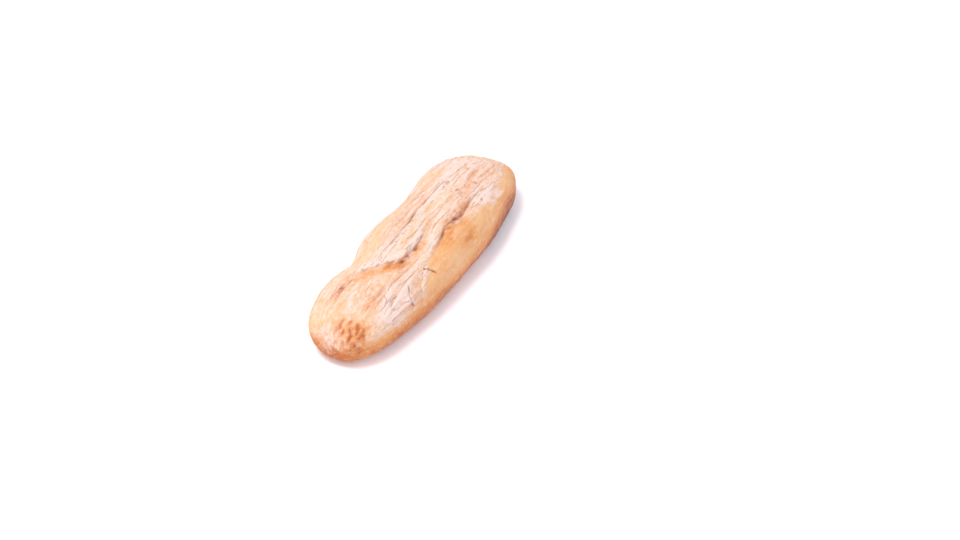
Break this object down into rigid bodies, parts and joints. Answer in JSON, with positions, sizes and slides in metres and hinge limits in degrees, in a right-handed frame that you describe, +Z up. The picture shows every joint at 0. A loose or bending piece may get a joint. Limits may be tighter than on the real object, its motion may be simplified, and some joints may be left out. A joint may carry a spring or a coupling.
{
  "type": "ciabatta",
  "caption": "Long, flour-dusted ciabatta loaf with rounded ends, folded crust creases and a flat baked underside; rests on a board, shelf or table.",
  "frame": {"origin": "middle of the loaf's bounding box in plan, on the flat underside that it rests on", "axes": "+X along the loaf's length, towards the evenly rounded end; +Y across it, towards the floury side with the waist; +Z up, out of the crown"},
  "size_m": [0.32, 0.1, 0.0564],
  "materials": {
    "crust": "matte, flour-dusted baked crust"
  },
  "bodies": {
    "root": {"loaf": "crust"}
  },
  "joints": []
}
